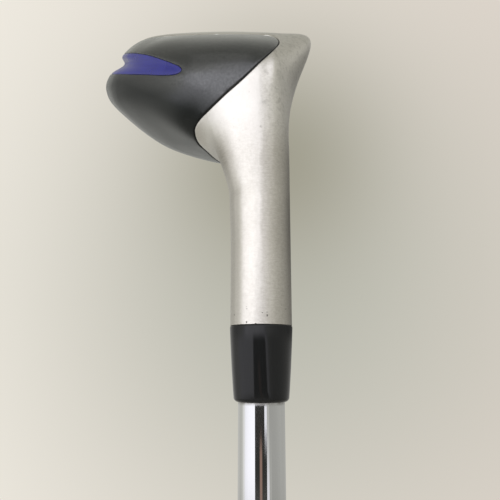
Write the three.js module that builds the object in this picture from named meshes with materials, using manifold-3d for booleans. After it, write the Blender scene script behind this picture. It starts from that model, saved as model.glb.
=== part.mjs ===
// A hybrid golf club, right-handed, at its real size in millimetres.
// The origin is the centre of the grip's butt end. +Z runs up the shaft to the head,
// +X points at the target and +Y points away from the golfer, toward the toe.
// In the head three directions are used: back (away from the target), toe and up.

import * as THREE from "three";
import { mergeVertices } from "three/addons/utils/BufferGeometryUtils.js";
import Module from "manifold-3d";

const wasm = await Module();
wasm.setup();

// Driving dimensions of the club
const clubLength = 1003;            // butt end to the point where the shaft's axis meets the ground
const lieAngle = 60;                // degrees between the shaft and the ground
const loftAngle = 16;               // degrees that the face leans back
const cutOverrun = 6;               // how far every cutting solid runs past what it cuts
const seamGap = 0.3;                // between pieces that meet edge to edge
const slipGap = 0.05;               // between round pieces that slide over one another
const bondGap = 0.2;                // between a bonded layer and what it joins

// Head
const hoselRadius = 6.37;
const hoselHeight = 70.55;          // ferrule joint to the ground, along the shaft
const neckHeight = 38.2;            // where the straight hosel starts to flare into the heel
const filletRadius = 9.5;           // between the hosel and the crown
const heelDepth = 36.2;             // fillet's centre to the heel's sole corner
const heelBack = 20;
const faceLead = 12.7;              // leading edge ahead of the shaft's axis
const backReach = 45.8;             // trailing lip behind the shaft's axis
const toeReach = 74.5;
const crownHeight = 37.5;
const lipHeight = 15.9;
const coveTop = 11.4;               // upper and lower edges of the rear cove, above the ground
const coveBottom = 5.9;
const coveDepth = 2.6;
const wallThickness = 3;            // of the steel casting
const crownThickness = 1.2;
const bondThickness = 0.4;
const ledgeWidth = 5.2;             // the casting's flange under the crown's rim
const inlayThickness = 0.8;

// Shaft
const tipRadius = 4.7;
const buttRadius = 7.62;
const shaftInsertion = 32;          // length inside the hosel
const tipLength = 240;              // parallel stretch above the tip
const buttLength = 300;             // parallel stretch below the butt
const shaftSteps = 15;
const stepRise = 1.2;               // length of the short cone at each step
const tipWall = 0.8;
const buttWall = 0.4;

// Grip
const gripLength = 268;
const gripCapRadius = 14.6;
const gripMouthRadius = 9.4;
const gripLip = 1.2;
const capPlugRadius = 10.5;
const ventRadius = 1.5;
const capThickness = 4.6;
const tapeThickness = 0.3;

const degrees = Math.PI / 180;
const lie = lieAngle * degrees;
const loft = loftAngle * degrees;
const joint = clubLength - hoselHeight;
const roundSides = 24;
const weldDistance = 0.0003;        // corners of one solid closer than this are one corner

const materials = {
  steel: new THREE.MeshStandardMaterial({ color: 0xb9b3a6, metalness: 1, roughness: 0.34 }),
  face: new THREE.MeshStandardMaterial({ color: 0xa8a49b, metalness: 1, roughness: 0.42 }),
  graphite: new THREE.MeshStandardMaterial({ color: 0x3e4040, metalness: 0.35, roughness: 0.32 }),
  blue: new THREE.MeshStandardMaterial({ color: 0x4141a0, metalness: 0.1, roughness: 0.3 }),
  bond: new THREE.MeshStandardMaterial({ color: 0x1c1c1d, metalness: 0, roughness: 0.6 }),
  ferrule: new THREE.MeshStandardMaterial({ color: 0x242424, metalness: 0, roughness: 0.18 }),
  epoxy: new THREE.MeshStandardMaterial({ color: 0x8d8a7c, metalness: 0, roughness: 0.5 }),
  chrome: new THREE.MeshStandardMaterial({ color: 0xd9d6d0, metalness: 1, roughness: 0.1 }),
  plug: new THREE.MeshStandardMaterial({ color: 0xb3884a, metalness: 1, roughness: 0.35 }),
  band: new THREE.MeshStandardMaterial({ color: 0xb5b5b8, metalness: 0.5, roughness: 0.4 }),
  tape: new THREE.MeshStandardMaterial({ color: 0xcbb98f, metalness: 0, roughness: 0.8 }),
  rubber: new THREE.MeshStandardMaterial({ color: 0x1d1d1e, metalness: 0, roughness: 0.78 }),
  cap: new THREE.MeshStandardMaterial({ color: 0x26262a, metalness: 0, roughness: 0.6 }),
};

// A point of the head, given by how far it lies back, toward the toe and up from the ground point.
function headPoint(back, toe, up) {
  const y = toe * Math.sin(lie) + up * Math.cos(lie);
  const z = clubLength + toe * Math.cos(lie) - up * Math.sin(lie);
  return new THREE.Vector3(-back, y, z);
}

// Closed meshes and their joins and cuts
function solidFromMesh(positions, triangles) {
  const vertProperties = Float32Array.from(positions);
  const triVerts = Uint32Array.from(triangles);
  return new wasm.Manifold(new wasm.Mesh({ numProp: 3, vertProperties, triVerts }));
}

function solidFromGeometry(geometry) {
  const plain = geometry.clone();
  plain.deleteAttribute("normal");
  plain.deleteAttribute("uv");
  const merged = mergeVertices(plain, weldDistance);
  return solidFromMesh(merged.attributes.position.array, merged.index.array);
}

function geometryFromSolid(solid) {
  const mesh = solid.getMesh();
  const geometry = new THREE.BufferGeometry();
  geometry.setAttribute("position", new THREE.BufferAttribute(Float32Array.from(mesh.vertProperties), 3));
  geometry.setIndex(new THREE.BufferAttribute(Uint32Array.from(mesh.triVerts), 1));
  geometry.computeVertexNormals();
  return geometry;
}

function piece(name, geometry, material) {
  const mesh = new THREE.Mesh(geometry, material);
  mesh.name = name;
  return mesh;
}

// Round pieces are turned about the shaft's axis from a profile of [radius, z] points.
function turned(profile, sides = roundSides) {
  const points = profile.map(([radius, z]) => new THREE.Vector2(radius, z));
  points.push(points[0].clone());
  const geometry = new THREE.LatheGeometry(points, sides);
  geometry.rotateX(Math.PI / 2);
  return geometry;
}

// The head's skin is lofted through rings of 14 guide points. In order they are: topline, front and
// rear of the crown, upper skirt, trailing lip, the cove's upper edge, middle and lower edge, rear,
// middle and front of the sole, leading edge, and the lower and upper face.
const guideAngles = [112, 80, 50, 26, 4, -14, -24, -36, -56, -84, -116, -148, 180, 146];
const heelGuideAngles = [112, 80, 50, 22, -8, -31, -37.5, -44, -61, -84, -116, -148, 180, 146];
const coveGuideIndex = 6;

// Straight hosel: heights as shares of the hosel's height
const hoselShares = [1, 0.847, 0.73, 0.633, 0.5745];
// Heel fan: turn as a share of the lie, then sizes as shares of the hosel, the heel and its depth
const heelShares = [
  { turn: 0.733, front: 1, back: 0.465, depth: 0.657, top: 0.02 },
  { turn: 0.467, front: 0.99, back: 0.59, depth: 0.779, top: 0.02 },
  { turn: 0.217, front: 1.08, back: 1, depth: 1, top: 0.03 },
];
// Sections across the head, from heel to toe, as shares of the head's driving dimensions
const sectionShares = [
  { toe: 0, lead: 0.93, leadUp: 0.117, sole: 0.035, back: 0.65, lip: 1.02, crown: 0.91, cove: 0.45 },
  { toe: 0.134, lead: 0.98, leadUp: 0.099, sole: 0.016, back: 0.825, lip: 1.01, crown: 0.955, cove: 0.8 },
  { toe: 0.295, lead: 1, leadUp: 0.093, sole: 0.004, back: 0.935, lip: 1, crown: 0.989, cove: 1 },
  { toe: 0.47, lead: 1, leadUp: 0.093, sole: 0, back: 1, lip: 1, crown: 1, cove: 1 },
  { toe: 0.631, lead: 0.995, leadUp: 0.096, sole: 0.011, back: 0.978, lip: 1.01, crown: 0.984, cove: 1 },
  { toe: 0.765, lead: 0.985, leadUp: 0.107, sole: 0.032, back: 0.84, lip: 1.02, crown: 0.928, cove: 0.8 },
  { toe: 0.872, lead: 0.9, leadUp: 0.133, sole: 0.067, back: 0.59, lip: 1.03, crown: 0.82, cove: 0.45 },
  { toe: 0.946, lead: 0.7, leadUp: 0.203, sole: 0.133, back: 0.306, lip: 1.03, crown: 0.7, cove: 0 },
];
// Where the guide points lie in a section, as shares of its width or of its heights
const crownFrontShares = { along: 0.3, drop: 0.05 };
const crownRearShares = { along: 0.66, drop: 0.28 };
const skirtShares = { inFromLip: 0.055, rise: 0.26 };
const coveTopInShare = 0.028;
const coveMiddleInShare = 0.055;
const coveBottomInShare = 0.1;
const soleRearShares = { along: 0.76, rise: 0.08 };
const soleMiddleShare = 0.46;
const soleFrontShares = { along: 0.18, rise: 0.012 };
const faceLowShare = 0.36;
const faceHighShare = 0.75;
const toeRoundShare = 0.5;
const toeRoundPlaceShare = 0.988;
const coveEdgeShare = 0.42;
const toeMiddleShare = 0.47;
const lengthwiseDrawShare = 1.3;
const slopeStepShare = 0.02;
const aroundSteps = 3;
const innerAroundSteps = 2;
const hoselSteps = 1;
const heelSteps = 3;
const headSteps = 2;

const fanPivot = {
  toe: -neckHeight * Math.cos(lie) + (hoselRadius + filletRadius) * Math.sin(lie),
  up: neckHeight * Math.sin(lie) + (hoselRadius + filletRadius) * Math.cos(lie),
};

function roundGuides(angles, front, back, top, bottom) {
  const middle = (top + bottom) / 2;
  const half = (top - bottom) / 2;
  return angles.map((angle) => {
    const across = Math.cos(angle * degrees);
    return [across * (across > 0 ? back : front), middle + half * Math.sin(angle * degrees)];
  });
}

function sectionGuides(share) {
  const front = -faceLead * share.lead;
  const back = backReach * share.back;
  const width = back - front;
  const leadUp = crownHeight * share.leadUp;
  const sole = crownHeight * share.sole;
  const lip = lipHeight * share.lip;
  const top = crownHeight * share.crown;
  const topline = front + (top - leadUp) * Math.tan(loft);
  const coveLow = coveBottom + sole * coveEdgeShare;
  return [
    [topline, top],
    [topline + (back - topline) * crownFrontShares.along, top - (top - lip) * crownFrontShares.drop],
    [topline + (back - topline) * crownRearShares.along, top - (top - lip) * crownRearShares.drop],
    [back - width * skirtShares.inFromLip, lip + (top - lip) * skirtShares.rise],
    [back, lip],
    [back - width * coveTopInShare, coveTop],
    [back - width * coveMiddleInShare, (coveTop + coveLow) / 2],
    [back - width * coveBottomInShare, coveLow],
    [front + width * soleRearShares.along, sole + lip * soleRearShares.rise],
    [front + width * soleMiddleShare, sole],
    [front + width * soleFrontShares.along, sole + crownHeight * soleFrontShares.rise],
    [front, leadUp],
    [front + (topline - front) * faceLowShare, leadUp + (top - leadUp) * faceLowShare],
    [front + (topline - front) * faceHighShare, leadUp + (top - leadUp) * faceHighShare],
  ];
}

// A ring drawn in by a wall: its width and its height each lose the wall at both ends.
function drawnIn(guides, wall) {
  const limits = [0, 1].map((axis) => {
    const values = guides.map((guide) => guide[axis]);
    return [Math.min(...values), Math.max(...values)];
  });
  return guides.map((guide) => guide.map((value, axis) => {
    const [low, high] = limits[axis];
    return low + wall + (value - low) * (high - low - 2 * wall) / (high - low);
  }));
}

// All rings as lists of [back, toe, up]. The wall draws the skin in, the cove dents its rear, and the
// seat moves the cove's edges forward too.
function headRings({ wall = 0, dent = 0, seat = 0 }) {
  const rings = [];
  const middleToe = toeReach * toeMiddleShare;
  const lengthwise = 1 - wall * lengthwiseDrawShare / middleToe;
  function place(guides, toe, up, turn) {
    rings.push(guides.map(([back, rise]) => {
      const across = toe + rise * Math.sin(turn);
      return [back, middleToe + (across - middleToe) * lengthwise, up + rise * Math.cos(turn)];
    }));
  }
  const hoselRing = roundGuides(guideAngles, hoselRadius, hoselRadius, hoselRadius, -hoselRadius);
  for (const share of hoselShares) {
    const height = hoselHeight * share;
    place(drawnIn(hoselRing, wall), -height * Math.cos(lie), height * Math.sin(lie), lie);
  }
  for (const share of heelShares) {
    const [front, back] = [hoselRadius * share.front, heelBack * share.back];
    const [top, bottom] = [-filletRadius * (1 + share.top), -heelDepth * share.depth];
    const angles = share.turn < heelShares[1].turn ? heelGuideAngles : guideAngles;
    const guides = roundGuides(angles, front, back, top, bottom);
    place(drawnIn(guides, wall), fanPivot.toe, fanPivot.up, lie * share.turn);
  }
  let last;
  for (const share of sectionShares) {
    last = drawnIn(sectionGuides(share), wall);
    const dented = last.map((guide) => [...guide]);
    dented[coveGuideIndex][0] -= dent * share.cove;
    for (const guide of [coveGuideIndex - 1, coveGuideIndex, coveGuideIndex + 1]) {
      dented[guide][0] -= seat * share.cove;
    }
    place(dented, toeReach * share.toe, 0, 0);
  }
  const middle = [0, 1].map((axis) => last.reduce((sum, guide) => sum + guide[axis], 0) / last.length);
  const rounded = last.map((guide) => guide.map((value, axis) =>
    middle[axis] + (value - middle[axis]) * toeRoundShare));
  place(rounded, toeReach * toeRoundPlaceShare, 0, 0);
  return rings;
}

function catmullRom(before, start, end, after, t) {
  return start.map((value, axis) => {
    const [a, b, c, d] = [before[axis], value, end[axis], after[axis]];
    return (2 * b + (c - a) * t + (2 * a - 5 * b + 4 * c - d) * t * t + (3 * b - a - 3 * c + d) * t ** 3) / 2;
  });
}

function beyond(near, far) {
  return near.map((value, axis) => 2 * value - far[axis]);
}

// The skin as a surface: along counts rings from the hosel to the toe, around counts guide points.
function ringPoint(ring, around) {
  const count = ring.length;
  const start = Math.floor(around);
  const [before, from, to, after] = [-1, 0, 1, 2].map((shift) => ring[(start + shift + count) % count]);
  return catmullRom(before, from, to, after, around - start);
}

function surfacePoint(rings, along, around) {
  const start = Math.min(Math.floor(along), rings.length - 2);
  const [from, to] = [start, start + 1].map((at) => ringPoint(rings[at], around));
  const before = start > 0 ? ringPoint(rings[start - 1], around) : beyond(from, to);
  const after = start + 2 < rings.length ? ringPoint(rings[start + 2], around) : beyond(to, from);
  return new THREE.Vector3(...catmullRom(before, from, to, after, along - start));
}

// A point of the skin sunk below it along its normal
function sunkPoint(rings, along, around, depth) {
  const count = rings[0].length;
  const point = surfacePoint(rings, along, around);
  const ahead = surfacePoint(rings, Math.min(along + slopeStepShare, rings.length - 1), around);
  const behind = surfacePoint(rings, Math.max(along - slopeStepShare, 0), around);
  const next = surfacePoint(rings, along, (around + slopeStepShare) % count);
  const last = surfacePoint(rings, along, (around - slopeStepShare + count) % count);
  const outward = next.sub(last).cross(ahead.sub(behind)).normalize();
  return point.addScaledVector(outward, -depth);
}

// Places along the skin, closer together where the hosel turns into the heel
function stationsFrom(firstRing, ringCount) {
  const heelStart = hoselShares.length - 1;
  const heelEnd = hoselShares.length + heelShares.length;
  const places = [];
  for (let ring = firstRing; ring < ringCount - 1; ring += 1) {
    const steps = ring < heelStart ? hoselSteps : ring < heelEnd ? heelSteps : headSteps;
    places.push(...samples(ring, ring + 1, steps).slice(0, -1));
  }
  return [...places, ringCount - 1];
}

function samples(from, to, steps) {
  return Array.from({ length: steps + 1 }, (_, step) => from + (to - from) * step / steps);
}

// The whole skin as a solid: a flat end at the hosel, a cap at the toe, sunk by a depth that may vary
function loftedHead({ firstRing = 0, depthAt = () => 0, around = aroundSteps, ...draw }) {
  const rings = headRings(draw);
  const stations = stationsFrom(firstRing, rings.length);
  const guides = rings[0].length;
  const count = guides * around;
  const grid = stations.map((along) => Array.from({ length: count }, (_, at) =>
    sunkPoint(rings, along, at / around, depthAt(along, at / around))));
  const positions = grid.flat().flatMap((point) => headPoint(...point.toArray()).toArray());
  const triangles = [];
  for (let row = 0; row < grid.length - 1; row += 1) {
    for (let at = 0; at < count; at += 1) {
      const next = (at + 1) % count;
      const [a, b] = [row * count + at, row * count + next];
      triangles.push(a, b, b + count, a, b + count, a + count);
    }
  }
  for (const row of [0, grid.length - 1]) {
    const centre = positions.length / 3;
    const middle = grid[row].reduce((sum, point) => sum.add(point), new THREE.Vector3()).divideScalar(count);
    positions.push(...headPoint(...middle.toArray()).toArray());
    for (let at = 0; at < count; at += 1) {
      const [here, next] = [row * count + at, row * count + (at + 1) % count];
      triangles.push(...(row === 0 ? [centre, next, here] : [centre, here, next]));
    }
  }
  return solidFromMesh(positions, triangles);
}

// A strip of the skin as a solid between two depths
function skinStrip({ alongRange, aroundRange, outer, inner, alongCount, aroundCount }) {
  const rings = headRings({ dent: coveDepth });
  const layers = [outer, inner].map((depth) => samples(...alongRange, alongCount).map((along) =>
    samples(...aroundRange, aroundCount).map((around) => sunkPoint(rings, along, around, depth))));
  const row = aroundCount + 1;
  const layer = row * (alongCount + 1);
  const positions = layers.flat(2).flatMap((point) => headPoint(...point.toArray()).toArray());
  const triangles = [];
  function quad(a, b, c, d) {
    triangles.push(a, b, c, a, c, d);
  }
  for (let i = 0; i < alongCount; i += 1) {
    for (let j = 0; j < aroundCount; j += 1) {
      const a = i * row + j;
      quad(a, a + 1, a + 1 + row, a + row);
      quad(layer + a, layer + a + row, layer + a + 1 + row, layer + a + 1);
    }
    const [low, high] = [i * row, i * row + aroundCount];
    quad(low, low + row, low + row + layer, low + layer);
    quad(high, high + layer, high + row + layer, high + row);
  }
  for (let j = 0; j < aroundCount; j += 1) {
    const [near, far] = [j, alongCount * row + j];
    quad(near, near + layer, near + 1 + layer, near + 1);
    quad(far, far + 1, far + 1 + layer, far + layer);
  }
  return solidFromMesh(positions, triangles);
}

// A convex outline, listed clockwise, with each edge drawn in toward the inside by a distance
function drawnOutline(points, distance) {
  const count = points.length;
  const vectors = points.map(([x, y]) => new THREE.Vector2(x, y));
  const inside = vectors.map((point, at) => {
    const edge = vectors[(at + 1) % count].clone().sub(point).normalize();
    return new THREE.Vector2(edge.y, -edge.x);
  });
  return vectors.map((point, at) => {
    const [before, after] = [inside[(at + count - 1) % count], inside[at]];
    const shift = before.clone().add(after).multiplyScalar(distance / (1 + before.dot(after)));
    return [point.x + shift.x, point.y + shift.y];
  });
}

// A prism over an outline, from an origin along a depth. The axes are given in back, toe and up.
function headPrism(outline, origin, right, rise, depth) {
  const shape = new THREE.Shape(outline.map(([x, y]) => new THREE.Vector2(x, y)));
  const geometry = new THREE.ExtrudeGeometry(shape, { depth, bevelEnabled: false });
  const ground = headPoint(0, 0, 0);
  const [x, y] = [right, rise].map((axis) => headPoint(...axis).sub(ground));
  const matrix = new THREE.Matrix4().makeBasis(x, y, x.clone().cross(y));
  matrix.setPosition(headPoint(...origin));
  geometry.applyMatrix4(matrix);
  return solidFromGeometry(geometry);
}

const skin = loftedHead({ dent: coveDepth });

// The crown's piece lies inside an outline seen from the heel, and clear of the hosel's foot, which
// is an outline seen from above.
const heelViewShares = [
  [-0.1, 0.1], [-0.07, 0.157], [0.002, 0.243], [0.085, 0.336], [0.168, 0.421], [0.242, 0.504],
  [0.29, 0.56], [0.319, 0.608], [0.325, 0.648], [0.314, 0.709], [0.279, 0.768], [0.24, 0.859],
  [0.083, 0.92], [0.083, 1.6], [1.4, 1.6], [1.4, 0.15], [0.78, 0.144], [0.633, 0.118], [0.48, 0.087],
];
const hoselFootShares = [
  [-0.5, 0.17], [0.083, 0.17], [0.13, 0.11], [0.2, 0.055], [0.24, 0.01], [0.24, -0.6], [-0.5, -0.6],
];
const hoselFootUpShare = 0.84;
const slantShare = 1.3;

// The zone drawn in: its slanting front edge moves back and its lower edge moves up.
function crownZone(inset) {
  const length = toeReach * 2 + cutOverrun;
  const back = inset * slantShare;
  function side(moveBack, moveUp) {
    const outline = heelViewShares.map(([along, rise]) => [
      backReach * along + moveBack, crownHeight * rise + moveUp,
    ]);
    return headPrism(outline, [0, toeReach + cutOverrun, 0], [1, 0, 0], [0, 0, 1], length);
  }
  const foot = hoselFootShares.map(([along, toe]) => [backReach * along + back, toeReach * toe + back]);
  const footLow = [0, 0, crownHeight * hoselFootUpShare];
  const footPrism = headPrism(foot, footLow, [1, 0, 0], [0, 1, 0], crownHeight);
  return side(back, 0).intersect(side(0, inset)).subtract(footPrism);
}

// The blue inlay lies in the cove, between its two edges, and the layers below it make room for it.
// Places along it count rings, and places around it count guide points.
const coveAround = { from: coveGuideIndex - 1, to: coveGuideIndex + 1 };
const coveTipRing = hoselShares.length + heelShares.length - 1;
const coveRingShares = { from: 0.32, to: 6.2 };
const coveAlong = { from: coveTipRing + coveRingShares.from, to: coveTipRing + coveRingShares.to };
const seatHalfShare = 1.1;
const seatFadeShare = 0.8;
const seatMarginShare = 0.1;
const pocketMarginShare = 0.06;
const inlayMarginShare = 0.13;
const seatDepth = inlayThickness + seamGap;
const stripCounts = { alongCount: 18, aroundCount: 4 };

function seatShare(along, around) {
  const { smoothstep } = THREE.MathUtils;
  const across = smoothstep(Math.abs(around - coveGuideIndex), seatHalfShare, seatHalfShare + seatFadeShare);
  const start = smoothstep(along, coveAlong.from - seatFadeShare, coveAlong.from - seatMarginShare);
  const end = smoothstep(along, coveAlong.to + seatMarginShare, coveAlong.to + seatFadeShare);
  return (1 - across) * start * (1 - end);
}

// The skin sunk by a depth, and deeper behind the inlay
function layer(depth) {
  function depthAt(along, around) {
    return depth + seatDepth * seatShare(along, around);
  }
  return loftedHead({ dent: coveDepth, around: innerAroundSteps, depthAt });
}

const ledgeDepth = crownThickness + bondThickness + 2 * bondGap;

// The face is one flat plane. A point on it is given by how far it lies toward the toe and up the face.
const faceTrim = 0.15;
const plateThickness = 2;
const plateLedge = 3.5;
const plateHeel = 9;
const plateWidth = 50;
const plateLow = 3.2;
const plateHeight = 26.3;
const scoreCount = 7;
const scoreSpacing = 3;
const scoreWidth = 0.8;
const scoreDepth = 0.35;
const scoreLength = 36;
const scoreHeel = 15;
const scoreLow = 4.5;
const faceLow = crownHeight * sectionShares[2].leadUp;
const faceHeel = 3;
const windowDepth = 9.4;

const plateShares = [
  [0, 0.72], [0.05, 0.87], [0.3, 0.97], [0.68, 1], [0.88, 0.89], [0.98, 0.63],
  [1, 0.33], [0.95, 0.1], [0.8, 0], [0.07, 0], [0, 0.1],
];

function facePrism(outline, start, depth) {
  const back = -faceLead + faceTrim + start * Math.cos(loft);
  const origin = [back, 0, faceLow - start * Math.sin(loft)];
  return headPrism(outline, origin, [0, 1, 0], [Math.sin(loft), 0, Math.cos(loft)], depth);
}

function box(left, low, width, height) {
  return [[left, low], [left, low + height], [left + width, low + height], [left + width, low]];
}

const plateOutline = plateShares.map(([x, y]) => [plateHeel + plateWidth * x, plateLow + plateHeight * y]);

function shaftHole(radius) {
  const [low, high] = [joint - cutOverrun, joint + shaftInsertion + seamGap];
  return solidFromGeometry(turned([[0, low], [radius, low], [radius, high], [0, high]]));
}

const glueThickness = 0.15;
const boreRadius = tipRadius + 2 * slipGap + glueThickness;

// The steel casting: hosel, heel, sole, toe and face frame, open under the crown
function headBody() {
  const rebateDepth = plateThickness + seamGap;
  const rebate = facePrism(drawnOutline(plateOutline, -seamGap), -cutOverrun, cutOverrun + rebateDepth);
  const window = facePrism(drawnOutline(plateOutline, plateLedge), -cutOverrun, cutOverrun + windowDepth);
  const faceArea = box(faceHeel, -cutOverrun, toeReach, crownHeight + 2 * cutOverrun);
  const front = facePrism(faceArea, -cutOverrun, cutOverrun);
  const cavity = loftedHead({
    firstRing: coveTipRing, wall: wallThickness, dent: coveDepth, seat: seatDepth, around: innerAroundSteps,
  });
  const kept = layer(ledgeDepth).intersect(layer(crownThickness + bondGap));
  const underCrown = crownZone(0).subtract(kept);
  return skin.subtract(underCrown).subtract(cavity).subtract(crownZone(ledgeWidth)).subtract(front)
    .subtract(rebate).subtract(window).subtract(shaftHole(boreRadius));
}

// The face insert with its score lines
function facePlate() {
  let plate = facePrism(plateOutline, 0, plateThickness);
  for (let line = 0; line < scoreCount; line += 1) {
    const low = plateLow + scoreLow + line * scoreSpacing - scoreWidth / 2;
    const groove = box(scoreHeel, low, scoreLength, scoreWidth);
    plate = plate.subtract(facePrism(groove, -cutOverrun, cutOverrun + scoreDepth));
  }
  return plate;
}

function crownShell() {
  const pocket = skinStrip({
    alongRange: [coveAlong.from - pocketMarginShare, coveAlong.to + pocketMarginShare],
    aroundRange: [coveAround.from, coveAround.to],
    outer: -crownThickness, inner: seatDepth, ...stripCounts,
  });
  return skin.intersect(crownZone(seamGap)).subtract(layer(crownThickness)).subtract(pocket);
}

// The dark adhesive that shows as a thin line in the seam
function crownBond() {
  const top = layer(crownThickness + bondGap);
  const band = crownZone(2 * seamGap).subtract(crownZone(ledgeWidth - seamGap));
  return top.subtract(layer(crownThickness + bondGap + bondThickness)).intersect(band);
}

function coveInlay() {
  return skinStrip({
    alongRange: [coveAlong.from, coveAlong.to],
    aroundRange: [coveAround.from + inlayMarginShare, coveAround.to - inlayMarginShare],
    outer: 0, inner: inlayThickness, ...stripCounts,
  });
}

// Round pieces along the shaft
const ferruleLength = 15.5;
const ferruleWide = 6.48;
const ferruleNarrow = 5.6;
const ferruleLip = 0.7;

function ferrule() {
  const bore = tipRadius + slipGap;
  const [top, bottom] = [joint - slipGap, joint - slipGap - ferruleLength];
  return turned([
    [bore, bottom], [ferruleNarrow - ferruleLip, bottom], [ferruleNarrow, bottom + ferruleLip],
    [ferruleWide, top - ferruleLip], [ferruleWide, top - slipGap], [ferruleWide - slipGap, top], [bore, top],
  ]);
}

function sleeve(inner, outer, low, high) {
  return turned([[inner, low], [outer, low], [outer, high], [inner, high]]);
}

function hoselEpoxy() {
  return sleeve(tipRadius + slipGap, tipRadius + slipGap + glueThickness, joint + slipGap, shaftTip);
}

const shaftTip = joint + shaftInsertion;
const shaftButt = capThickness + seamGap;
const stepSpacing = (shaftTip - tipLength - buttLength) / (shaftSteps - 1);
const stepDrop = (buttRadius - tipRadius) / shaftSteps;

function shaft() {
  const outer = Array.from({ length: shaftSteps }, (_, step) => {
    const z = buttLength + step * stepSpacing;
    return [[buttRadius - step * stepDrop, z], [buttRadius - (step + 1) * stepDrop, z + stepRise]];
  }).flat();
  const [tipBore, buttBore] = [tipRadius - tipWall, buttRadius - buttWall];
  return turned([
    [buttBore, shaftButt], [buttRadius, shaftButt], ...outer, [tipRadius, shaftTip],
    [tipBore, shaftTip], [tipBore, shaftTip - tipLength], [buttBore, buttLength],
  ]);
}

const plugLength = 12;

function tipPlug() {
  const radius = tipRadius - tipWall - slipGap;
  const low = shaftTip - plugLength;
  return turned([[0, low], [radius, low], [radius, shaftTip], [0, shaftTip]]);
}

const bandStep = 2;
const bandThickness = 0.12;

function shaftBand() {
  const low = buttLength + (bandStep - 1) * stepSpacing + 2 * stepRise;
  const inner = buttRadius - bandStep * stepDrop + slipGap;
  return sleeve(inner, inner + bandThickness, low, low + stepSpacing - 3 * stepRise);
}

const gripBore = buttRadius + 2 * slipGap + tapeThickness;
const tapeMargin = 5;

function gripTape() {
  const inner = buttRadius + slipGap;
  return sleeve(inner, inner + tapeThickness, shaftButt, gripLength - tapeMargin);
}

// Outer line of the grip: places as shares of its length, radii between the mouth and the cap as shares
const gripShares = [
  [0.003, 0.72], [0.014, 1], [0.022, 1], [0.05, 0.86], [0.12, 0.76], [0.3, 0.58], [0.55, 0.36], [0.78, 0.16],
];

function grip() {
  const outer = gripShares.map(([along, share]) => [
    gripMouthRadius + (gripCapRadius - gripMouthRadius) * share, gripLength * along,
  ]);
  return turned([
    [capPlugRadius + slipGap, outer[0][1]], ...outer, [gripMouthRadius, gripLength - gripLip],
    [gripMouthRadius - gripLip / 2, gripLength], [gripBore, gripLength],
    [gripBore, shaftButt], [capPlugRadius + slipGap, shaftButt],
  ]);
}

function buttCap() {
  const edge = gripLip / 2;
  return turned([
    [ventRadius, 0], [capPlugRadius - edge, 0], [capPlugRadius, edge], [capPlugRadius, capThickness],
    [ventRadius, capThickness],
  ]);
}

const club = new THREE.Group();
club.name = "hybrid_club";
club.add(
  piece("head_body", geometryFromSolid(headBody()), materials.steel),
  piece("face_plate", geometryFromSolid(facePlate()), materials.face),
  piece("crown_shell", geometryFromSolid(crownShell()), materials.graphite),
  piece("crown_bond", geometryFromSolid(crownBond()), materials.bond),
  piece("cove_inlay", geometryFromSolid(coveInlay()), materials.blue),
  piece("ferrule", ferrule(), materials.ferrule),
  piece("hosel_epoxy", hoselEpoxy(), materials.epoxy),
  piece("shaft", shaft(), materials.chrome),
  piece("tip_plug", tipPlug(), materials.plug),
  piece("shaft_band", shaftBand(), materials.band),
  piece("grip_tape", gripTape(), materials.tape),
  piece("grip", grip(), materials.rubber),
  piece("butt_cap", buttCap(), materials.cap),
);

export default club;
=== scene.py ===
# %% [markdown]
# # A hybrid golf club, held with its head up
#
# The club is a hollow steel head with a dark crown, a black ferrule, a chromed shaft and a rubber
# grip. Every size here is in millimetres until a piece is finished, and then in metres, in the same
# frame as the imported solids: the butt end of the grip is the origin and +Z runs up to the head.

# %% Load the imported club
import math

import bmesh
import bpy
from mathutils import Matrix, Vector
from mathutils.kdtree import KDTree


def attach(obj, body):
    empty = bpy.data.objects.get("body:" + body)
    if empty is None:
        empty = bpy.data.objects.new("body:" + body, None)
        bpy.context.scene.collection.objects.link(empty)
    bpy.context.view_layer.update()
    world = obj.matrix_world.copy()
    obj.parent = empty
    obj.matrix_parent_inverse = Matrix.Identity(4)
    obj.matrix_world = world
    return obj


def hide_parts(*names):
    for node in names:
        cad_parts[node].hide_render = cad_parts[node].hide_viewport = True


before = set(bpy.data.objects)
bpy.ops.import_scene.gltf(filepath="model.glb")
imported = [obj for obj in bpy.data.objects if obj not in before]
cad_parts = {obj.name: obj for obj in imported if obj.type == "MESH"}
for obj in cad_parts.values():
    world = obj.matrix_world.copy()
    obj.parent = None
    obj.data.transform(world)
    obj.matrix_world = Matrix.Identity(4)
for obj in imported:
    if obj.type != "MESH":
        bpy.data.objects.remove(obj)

scene = bpy.context.scene
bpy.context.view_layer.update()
MM = 0.001
SAME_PLACE = 0.0001    # corners nearer than this, in millimetres, are one corner
print("nodes:", ", ".join(sorted(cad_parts)))

# %% [markdown]
# ## The camera
#
# The photograph was taken from about a hand's breadth away, a little from below, which is why the
# hosel looks as wide as the ferrule and the head seems to lean over the lens. The distance matters
# more than the lens: with a long lens from far away the head would look flat. So the camera comes
# first, at the place worked out from the shaft's two edges.

# %% Camera
CAMERA_PLACE = (-0.0023, -0.11053, 0.92501)
CAMERA_TILT = math.radians(102)
LENS, SENSOR, NEAREST = 38.16, 36, 0.005
camera = bpy.data.objects.new("camera", bpy.data.cameras.new("camera"))
camera.location = CAMERA_PLACE
camera.rotation_euler = (CAMERA_TILT, 0, 0)
camera.data.lens, camera.data.sensor_width, camera.data.clip_start = LENS, SENSOR, NEAREST
scene.collection.objects.link(camera)
scene.camera = camera
print("camera:", LENS, "mm lens")

# %% [markdown]
# ## From the head's own directions to the frame
#
# A club head is drawn on the ground: back, toe and up. The shaft leans over it by the lie angle. One
# matrix turns the head's millimetres into the frame's metres, so that the head can be modelled
# upright and put in its place at the end.

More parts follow.
